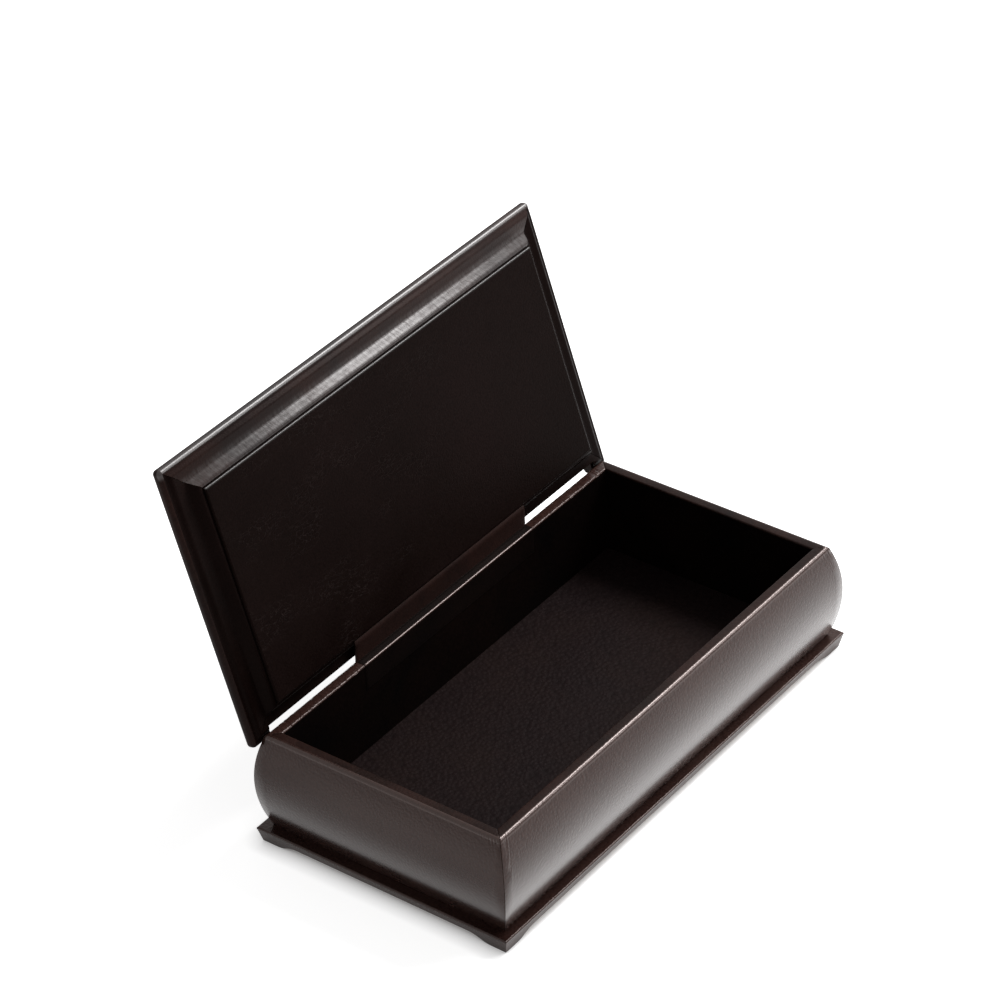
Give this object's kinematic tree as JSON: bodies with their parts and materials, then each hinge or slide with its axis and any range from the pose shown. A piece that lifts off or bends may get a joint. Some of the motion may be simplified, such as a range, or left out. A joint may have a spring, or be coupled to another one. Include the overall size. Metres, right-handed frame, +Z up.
{
  "type": "valet box",
  "caption": "Leather-covered valet box: a tray with four bowed walls on a low plinth with bracket feet, and a strip-hinged lid that stands open.",
  "frame": {"origin": "on the table, under the middle of the plinth", "axes": "+Z up, +X along the front to the right, -Y towards the front; the lid is hinged at the back (+Y) and stands open at rest"},
  "size_m": [0.232, 0.1577, 0.1616],
  "materials": {
    "cover_leather": "smooth dark espresso leather with a soft sheen",
    "lining_leather": "smooth dark brown lining leather",
    "core_board": "plain board under the leather",
    "underside_cloth": "thin dark cloth sheet"
  },
  "bodies": {
    "box": {"bracket_foot_back_left": "core_board", "bracket_foot_back_right": "core_board", "bracket_foot_front_left": "core_board", "bracket_foot_front_right": "core_board", "floor_board": "core_board", "floor_leather": "lining_leather", "hinge_leaf_box": "cover_leather", "plinth_board": "core_board", "plinth_side_leather_back": "cover_leather", "plinth_side_leather_front": "cover_leather", "plinth_side_leather_left": "cover_leather", "plinth_side_leather_right": "cover_leather", "plinth_top_leather": "cover_leather", "plinth_underside_lining": "underside_cloth", "wall_back": "core_board", "wall_front": "core_board", "wall_leather_back": "cover_leather", "wall_leather_front": "cover_leather", "wall_leather_left": "cover_leather", "wall_leather_right": "cover_leather", "wall_left": "core_board", "wall_lining_back": "lining_leather", "wall_lining_front": "lining_leather", "wall_lining_left": "lining_leather", "wall_lining_right": "lining_leather", "wall_right": "core_board"},
    "lid": {"hinge_leaf_lid": "cover_leather", "lid_board": "core_board", "lid_cover_leather": "cover_leather", "lid_frame_leather_back": "cover_leather", "lid_frame_leather_front": "cover_leather", "lid_frame_leather_left": "cover_leather", "lid_frame_leather_right": "cover_leather", "lid_moulding_back": "core_board", "lid_moulding_front": "core_board", "lid_moulding_left": "core_board", "lid_moulding_right": "core_board", "lid_panel_board": "core_board", "lid_panel_leather": "cover_leather"}
  },
  "joints": [
    {"name": "lid_hinge", "type": "hinge", "parent": "box", "child": "lid", "pos_m": [0, 0.0566, 0.0508], "axis": [1, 0, 0], "range_deg": [0, 107.2]}
  ]
}
